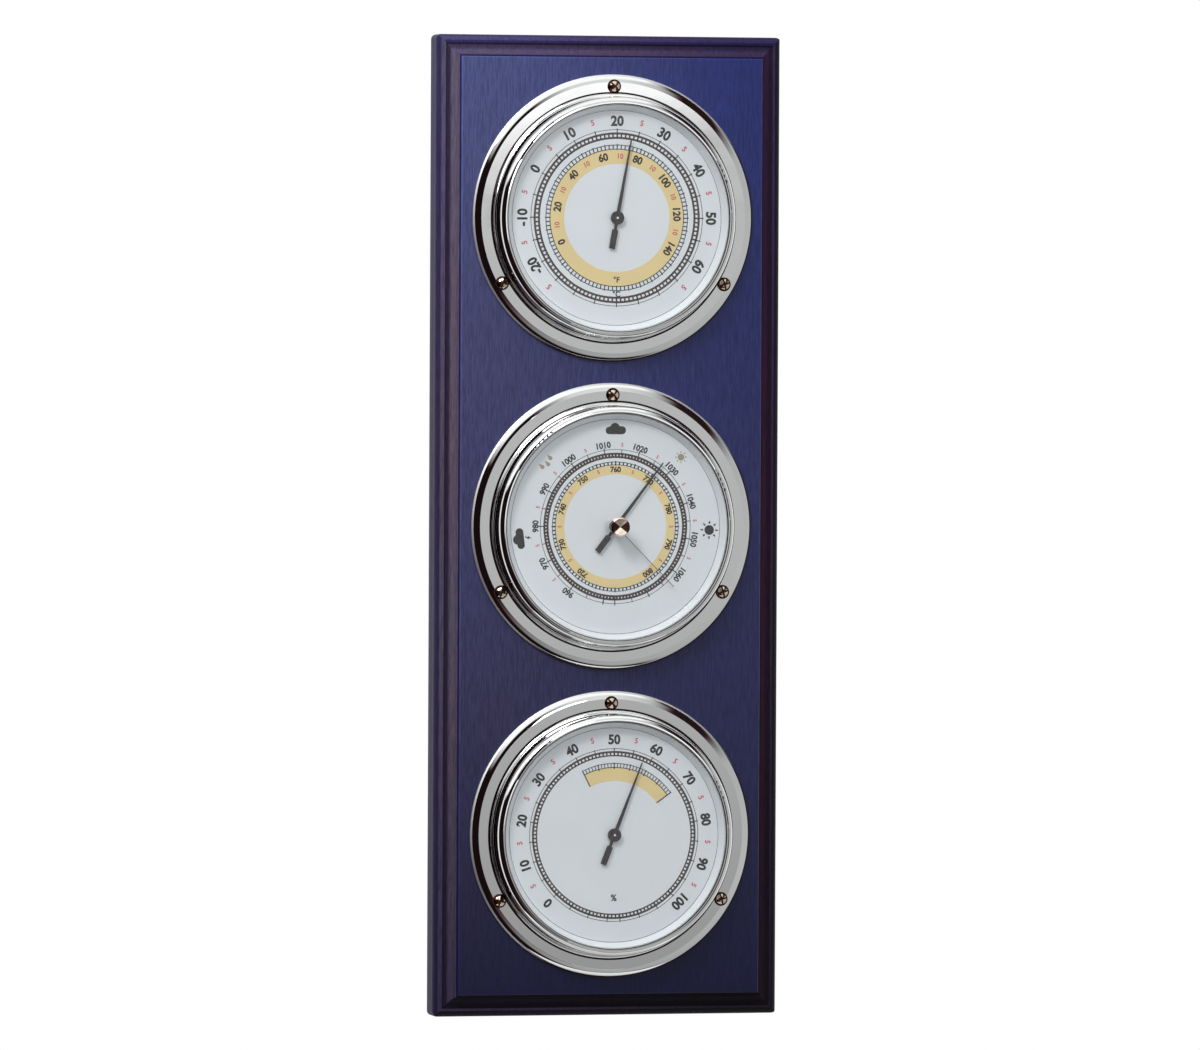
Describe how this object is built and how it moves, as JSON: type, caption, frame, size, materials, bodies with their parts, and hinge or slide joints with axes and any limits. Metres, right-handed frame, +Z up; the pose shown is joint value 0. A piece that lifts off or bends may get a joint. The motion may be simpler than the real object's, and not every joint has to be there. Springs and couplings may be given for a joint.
{
  "type": "wall weather station",
  "caption": "Moulded blue-stained board with chromed porthole thermometer, aneroid barometer with setting knob, and hygrometer, one above the other.",
  "frame": {"origin": "centre of the keyhole's round entry in the hanger plate, on the wall's plane (the board's back)", "axes": "+X to the right for someone facing the dials, +Y into the wall, away from that person, +Z up along the board"},
  "size_m": [0.18, 0.0442, 0.5],
  "materials": {
    "wood": "dark blue stain under satin lacquer",
    "chrome": "polished chrome plating",
    "glass": "clear flat glass",
    "dial": "matt pale grey-blue paint with printed scales",
    "dial_ring": "satin white paint",
    "black_paint": "satin black paint",
    "screw_brass": "slightly dulled brass",
    "knob_brass": "turned, polished brass",
    "brass": "brushed brass",
    "steel": "plain steel",
    "fibre": "bundle of fine fibres"
  },
  "bodies": {
    "board_and_cases": {"board": "wood", "hanger_plate": "steel", "hanger_screws": "steel", "mounting_screws": "screw_brass", "tie_screws": "steel", "thermometer_case": "chrome", "thermometer_bezel": "chrome", "thermometer_glass": "glass", "thermometer_dial_ring": "dial_ring", "thermometer_dial": "dial", "thermometer_back_cover": "steel", "thermometer_back_plate": "brass", "thermometer_front_bridge": "brass", "thermometer_spacers": "brass", "thermometer_coil": "brass", "barometer_case": "chrome", "barometer_bezel": "chrome", "barometer_glass": "glass", "barometer_dial_ring": "dial_ring", "barometer_dial": "dial", "barometer_back_cover": "steel", "barometer_base_plate": "steel", "barometer_back_plate": "brass", "barometer_front_bridge": "brass", "barometer_spacers": "brass", "barometer_tie_screws": "steel", "barometer_capsule": "steel", "barometer_main_spring": "steel", "barometer_brackets": "brass", "barometer_hairspring": "steel", "barometer_glass_bush": "knob_brass", "hygrometer_case": "chrome", "hygrometer_bezel": "chrome", "hygrometer_glass": "glass", "hygrometer_dial_ring": "dial_ring", "hygrometer_dial": "dial", "hygrometer_back_cover": "steel", "hygrometer_back_plate": "brass", "hygrometer_front_bridge": "brass", "hygrometer_spacers": "brass", "hygrometer_hairspring": "steel", "hygrometer_fibre": "fibre"},
    "thermometer_hand": {"thermometer_arbor": "steel", "thermometer_pointer": "black_paint"},
    "barometer_hand": {"barometer_pinion": "steel", "barometer_pointer": "black_paint"},
    "barometer_sector_wheel": {"barometer_sector": "brass"},
    "barometer_rocker_shaft": {"barometer_rocker": "steel"},
    "barometer_post": {"barometer_capsule_post": "brass"},
    "barometer_setting": {"barometer_setting_hand": "knob_brass", "barometer_setting_knob": "knob_brass"},
    "barometer_adjuster": {"barometer_adjusting_screw": "brass"},
    "hygrometer_hand": {"hygrometer_pinion": "steel", "hygrometer_pointer": "black_paint"},
    "hygrometer_sector_wheel": {"hygrometer_sector": "brass"},
    "hygrometer_eccentric": {"hygrometer_adjuster": "steel"}
  },
  "joints": [
    {"name": "thermometer_pointer_turn", "type": "hinge", "parent": "board_and_cases", "child": "thermometer_hand", "pos_m": [0, -0.03, -0.071], "axis": [0, 1, 0], "range_deg": [-145.2, 124.8], "stiffness_Nm_per_rad": 0.001, "deforming": ["thermometer_coil"]},
    {"name": "barometer_pointer_turn", "type": "hinge", "parent": "board_and_cases", "child": "barometer_hand", "pos_m": [0, -0.03, -0.228], "axis": [0, 1, 0], "range_deg": [-180.9, 89.1], "stiffness_Nm_per_rad": 0.001, "deforming": ["barometer_hairspring"]},
    {"name": "barometer_sector_turn", "type": "hinge", "parent": "board_and_cases", "child": "barometer_sector_wheel", "pos_m": [-0.0264, -0.0245, -0.228], "axis": [0, 1, 0], "range_deg": [-8.95, 18.15]},
    {"name": "barometer_rocker_turn", "type": "hinge", "parent": "board_and_cases", "child": "barometer_rocker_shaft", "pos_m": [0, -0.0135, -0.231], "axis": [1, 0, 0], "range_deg": [-5.4, 10.9]},
    {"name": "barometer_capsule_stroke", "type": "slide", "parent": "board_and_cases", "child": "barometer_post", "axis": [0, -1, 0], "range_m": [-0.00024, 0.00048], "deforming": ["barometer_capsule", "barometer_main_spring"]},
    {"name": "barometer_setting_hand_turn", "type": "hinge", "parent": "board_and_cases", "child": "barometer_setting", "pos_m": [0, -0.038, -0.228], "axis": [0, 1, 0], "continuous": true},
    {"name": "barometer_adjusting_screw_turn", "type": "hinge", "parent": "board_and_cases", "child": "barometer_adjuster", "pos_m": [0, -0.003, -0.228], "axis": [0, 1, 0], "range_deg": [-180, 180]},
    {"name": "hygrometer_pointer_turn", "type": "hinge", "parent": "board_and_cases", "child": "hygrometer_hand", "pos_m": [0, -0.03, -0.385], "axis": [0, 1, 0], "range_deg": [-156.3, 113.7], "stiffness_Nm_per_rad": 0.001, "deforming": ["hygrometer_hairspring"]},
    {"name": "hygrometer_sector_turn", "type": "hinge", "parent": "board_and_cases", "child": "hygrometer_sector_wheel", "pos_m": [-0.0264, -0.0245, -0.385], "axis": [0, 1, 0], "range_deg": [-11.4, 15.65], "deforming": ["hygrometer_fibre"]},
    {"name": "hygrometer_adjuster_turn", "type": "hinge", "parent": "board_and_cases", "child": "hygrometer_eccentric", "pos_m": [-0.0294, -0.0214, -0.4285], "axis": [0, 1, 0], "range_deg": [-90, 90], "deforming": ["hygrometer_fibre"]}
  ],
  "couplings": [
    {"joint": "barometer_sector_turn", "follows": "barometer_pointer_turn", "ratio": -0.1},
    {"joint": "barometer_rocker_turn", "follows": "barometer_pointer_turn", "ratio": -0.06},
    {"joint": "barometer_capsule_stroke", "follows": "barometer_pointer_turn", "m_per_rad": -0.00015},
    {"joint": "hygrometer_sector_turn", "follows": "hygrometer_pointer_turn", "ratio": -0.1}
  ]
}
